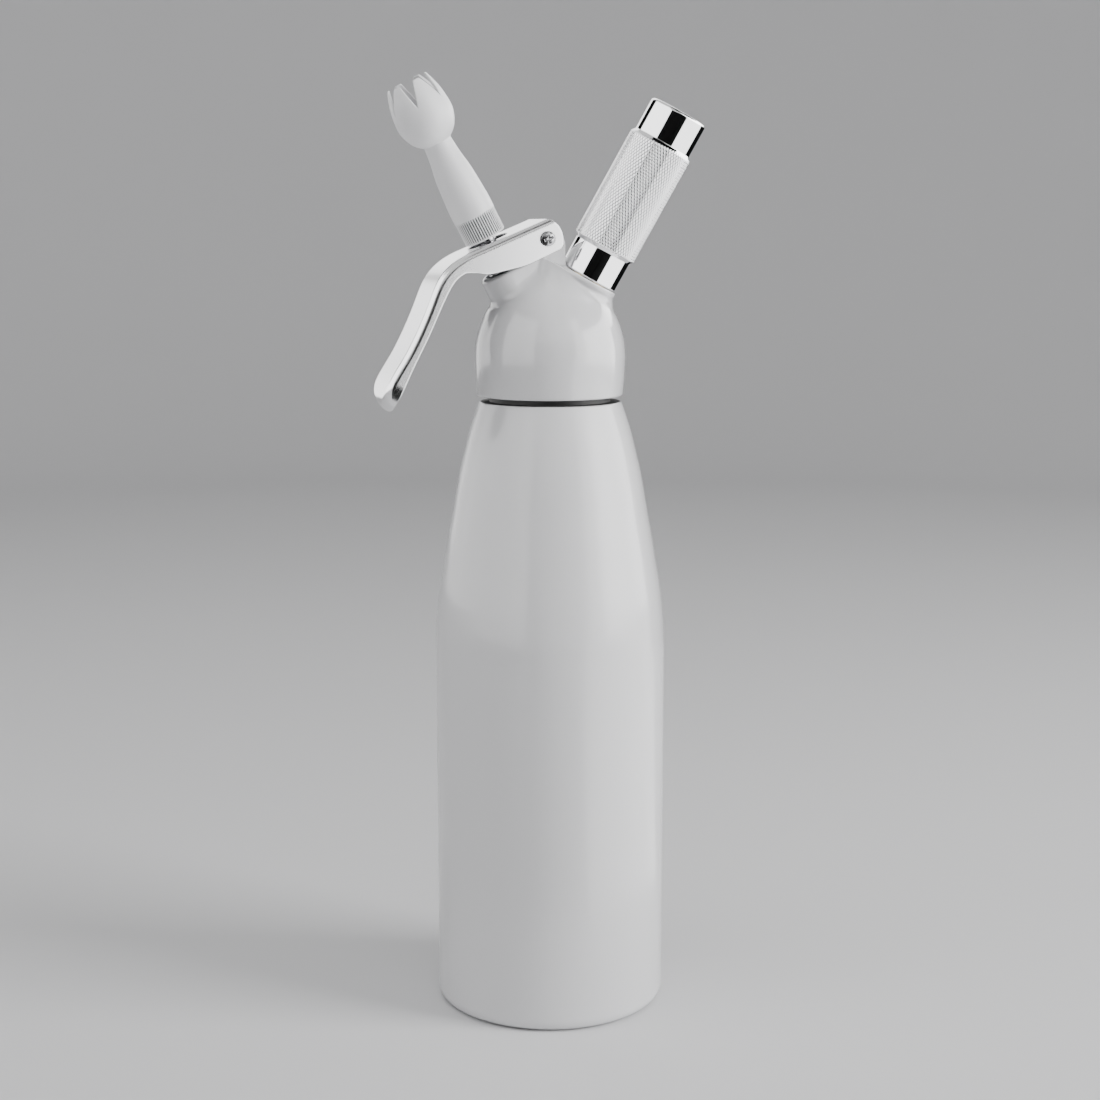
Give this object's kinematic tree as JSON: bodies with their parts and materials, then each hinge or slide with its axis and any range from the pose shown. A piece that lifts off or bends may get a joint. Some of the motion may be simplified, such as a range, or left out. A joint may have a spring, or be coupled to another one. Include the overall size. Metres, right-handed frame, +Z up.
{
  "type": "whipped cream dispenser",
  "caption": "Pressure bottle with screw-on head, push-down spout lever, decorating nozzle and gas charger holder, for whipping and piping cream.",
  "frame": {"origin": "centre of the flat base, on the bottle's axis", "axes": "+Z up along the bottle's axis, the lever and nozzle lean towards -X in the XZ plane, the charger holder leans towards +X, turned 25 degrees towards -Y"},
  "size_m": [0.1201, 0.088, 0.3546],
  "materials": {
    "bottle_paint": "smooth gloss paint",
    "head_paint": "smooth gloss paint",
    "lever_metal": "satin polished",
    "nozzle_plastic": "fine matt moulding",
    "holder_chrome": "mirror chrome with diamond knurl",
    "valve_steel": "turned stainless steel",
    "screw_steel": "plated steel",
    "brass_fittings": "turned brass",
    "black_rubber": "moulded rubber",
    "grey_rubber": "moulded silicone rubber",
    "charger_steel": "plated drawn steel"
  },
  "bodies": {
    "bottle": {"bottle": "bottle_paint"},
    "gasket": {"head_gasket": "grey_rubber"},
    "head": {"head_casting": "head_paint", "stem_bush": "brass_fittings", "bush_oring": "black_rubber", "return_spring": "valve_steel", "pivot_barrel": "screw_steel", "pivot_screw": "screw_steel", "pivot_washers": "grey_rubber", "inlet_body": "brass_fittings", "inlet_oring": "black_rubber", "piercing_pin": "valve_steel", "charger_seal": "grey_rubber", "check_valve": "black_rubber"},
    "lever": {"lever": "lever_metal"},
    "stem": {"valve_stem": "valve_steel", "stem_pusher": "valve_steel", "stem_circlip": "valve_steel", "stem_oring": "black_rubber", "valve_seal": "black_rubber", "seal_washer": "valve_steel", "seal_nut": "valve_steel"},
    "nozzle_seal": {"nozzle_seal": "grey_rubber"},
    "nozzle": {"nozzle": "nozzle_plastic"},
    "charger": {"charger": "charger_steel"},
    "charger_holder": {"charger_holder": "holder_chrome"}
  },
  "joints": [
    {"name": "head_lift", "type": "slide", "parent": "bottle", "child": "gasket", "axis": [0, 0, 1], "range_m": [0, 0.02]},
    {"name": "head_turn", "type": "hinge", "parent": "gasket", "child": "head", "pos_m": [0, 0, 0.243], "axis": [0, 0, 1], "range_deg": [0, 1802]},
    {"name": "lever_press", "type": "hinge", "parent": "head", "child": "lever", "pos_m": [-0.005, 0, 0.2953], "axis": [0, -1, 0], "range_deg": [0, 9.6], "stiffness_Nm_per_rad": 1, "springref_deg": -17.19},
    {"name": "stem_press", "type": "slide", "parent": "head", "child": "stem", "axis": [0.4741, 0, -0.8805], "range_m": [0, 0.003], "deforming": ["return_spring"]},
    {"name": "nozzle_lift", "type": "slide", "parent": "stem", "child": "nozzle_seal", "axis": [-0.4741, 0, 0.8805], "range_m": [0, 0.0105]},
    {"name": "nozzle_turn", "type": "hinge", "parent": "nozzle_seal", "child": "nozzle", "pos_m": [-0.0191, 0, 0.28385], "axis": [-0.4741, 0, 0.8805], "range_deg": [0, 2522]},
    {"name": "holder_lift", "type": "slide", "parent": "head", "child": "charger", "axis": [0.4402, -0.2053, 0.8741], "range_m": [0, 0.0119]},
    {"name": "holder_turn", "type": "hinge", "parent": "charger", "child": "charger_holder", "pos_m": [0.01278, -0.00596, 0.28091], "axis": [0.4402, -0.2053, 0.8741], "range_deg": [0, 2522]}
  ],
  "couplings": [
    {"joint": "head_turn", "follows": "head_lift", "rad_per_m": 1570.8},
    {"joint": "stem_press", "follows": "lever_press", "m_per_rad": 0.017843},
    {"joint": "nozzle_turn", "follows": "nozzle_lift", "rad_per_m": 4188.8},
    {"joint": "holder_turn", "follows": "holder_lift", "rad_per_m": 3696}
  ]
}
